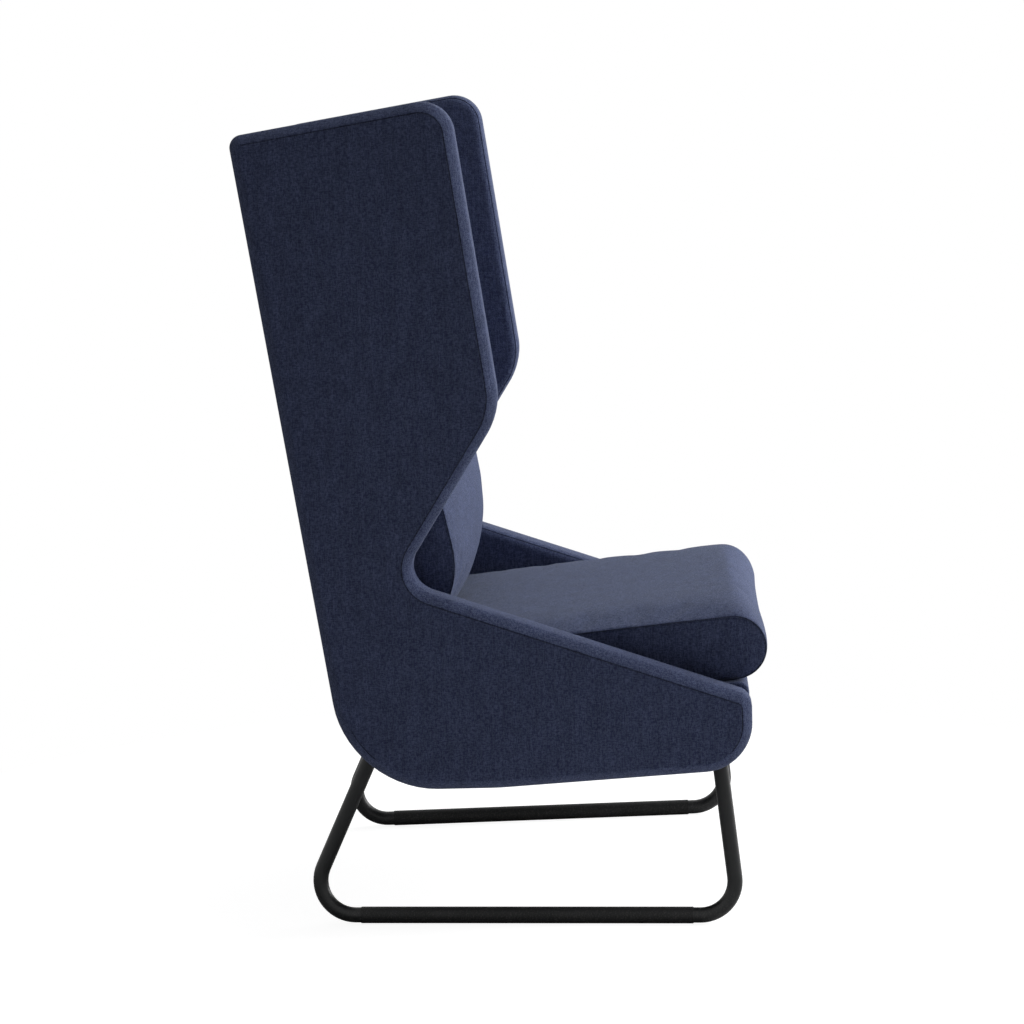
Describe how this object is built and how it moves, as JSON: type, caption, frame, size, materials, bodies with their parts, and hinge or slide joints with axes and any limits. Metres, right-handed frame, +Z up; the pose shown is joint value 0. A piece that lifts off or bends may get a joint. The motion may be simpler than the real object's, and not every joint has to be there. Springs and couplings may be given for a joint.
{
  "type": "high-back lounge chair",
  "caption": "High-back acoustic lounge chair with winged upholstered sides, loose seat and back cushions and a bent steel sled base.",
  "frame": {"origin": "on the floor, under the middle of the chair's width and depth", "axes": "+Z up, the front of the seat towards -Y, X across the seat; left and right are as seen from the front, so left is -X"},
  "size_m": [0.746, 0.7231, 1.1746],
  "materials": {
    "shell_fabric": "heathered fine wool, navy",
    "cushion_fabric": "heathered fine wool, navy",
    "deck_cloth": "plain lining cloth, dark",
    "foam": "cut upholstery foam",
    "plywood": "bare birch plywood",
    "frame_timber": "planed beech",
    "webbing": "woven elastic webbing",
    "dust_cloth": "non-woven lining, black",
    "black_steel": "satin black powder coat",
    "sleeve_plastic": "matte black",
    "zinc_steel": "bright zinc plate"
  },
  "bodies": {
    "chair": {"back_board": "plywood", "back_inner_cover": "shell_fabric", "back_inner_foam": "foam", "back_outer_cover": "shell_fabric", "back_outer_foam": "foam", "back_top_band": "shell_fabric", "back_top_rail": "frame_timber", "base_bolt_front_left": "zinc_steel", "base_bolt_front_right": "zinc_steel", "base_bolt_rear_left": "zinc_steel", "base_bolt_rear_right": "zinc_steel", "base_washer_front_left": "zinc_steel", "base_washer_front_right": "zinc_steel", "base_washer_rear_left": "zinc_steel", "base_washer_rear_right": "zinc_steel", "corner_block_front_left": "frame_timber", "corner_block_front_right": "frame_timber", "corner_block_rear_left": "frame_timber", "corner_block_rear_right": "frame_timber", "cross_bar_front": "black_steel", "cross_bar_rear": "black_steel", "deck_cover": "deck_cloth", "deck_pad": "foam", "dust_cover": "dust_cloth", "front_cover": "shell_fabric", "front_foam": "foam", "front_rail": "frame_timber", "mount_bar_left": "black_steel", "mount_bar_right": "black_steel", "rear_rail": "frame_timber", "runner_sleeve_left": "sleeve_plastic", "runner_sleeve_right": "sleeve_plastic", "seat_web_1": "webbing", "seat_web_2": "webbing", "seat_web_3": "webbing", "seat_web_4": "webbing", "seat_web_5": "webbing", "side_board_left": "plywood", "side_board_right": "plywood", "side_cover_left": "shell_fabric", "side_cover_right": "shell_fabric", "side_edge_band_left": "shell_fabric", "side_edge_band_right": "shell_fabric", "side_inner_cover_left": "shell_fabric", "side_inner_cover_right": "shell_fabric", "side_inner_foam_left": "foam", "side_inner_foam_right": "foam", "side_outer_foam_left": "foam", "side_outer_foam_right": "foam", "side_rail_left": "frame_timber", "side_rail_right": "frame_timber", "sled_left": "black_steel", "sled_right": "black_steel", "threaded_insert_front_left": "zinc_steel", "threaded_insert_front_right": "zinc_steel", "threaded_insert_rear_left": "zinc_steel", "threaded_insert_rear_right": "zinc_steel"},
    "seat_pad": {"seat_cushion": "cushion_fabric"},
    "back_pad": {"back_cushion": "cushion_fabric"}
  },
  "joints": [
    {"name": "seat_cushion_lift_off", "type": "slide", "parent": "chair", "child": "seat_pad", "axis": [0, -0.9963, 0.0854], "range_m": [0, 0.4]},
    {"name": "back_cushion_lift_off", "type": "slide", "parent": "chair", "child": "back_pad", "axis": [0, 0.1395, 0.9902], "range_m": [0, 0.25]}
  ]
}
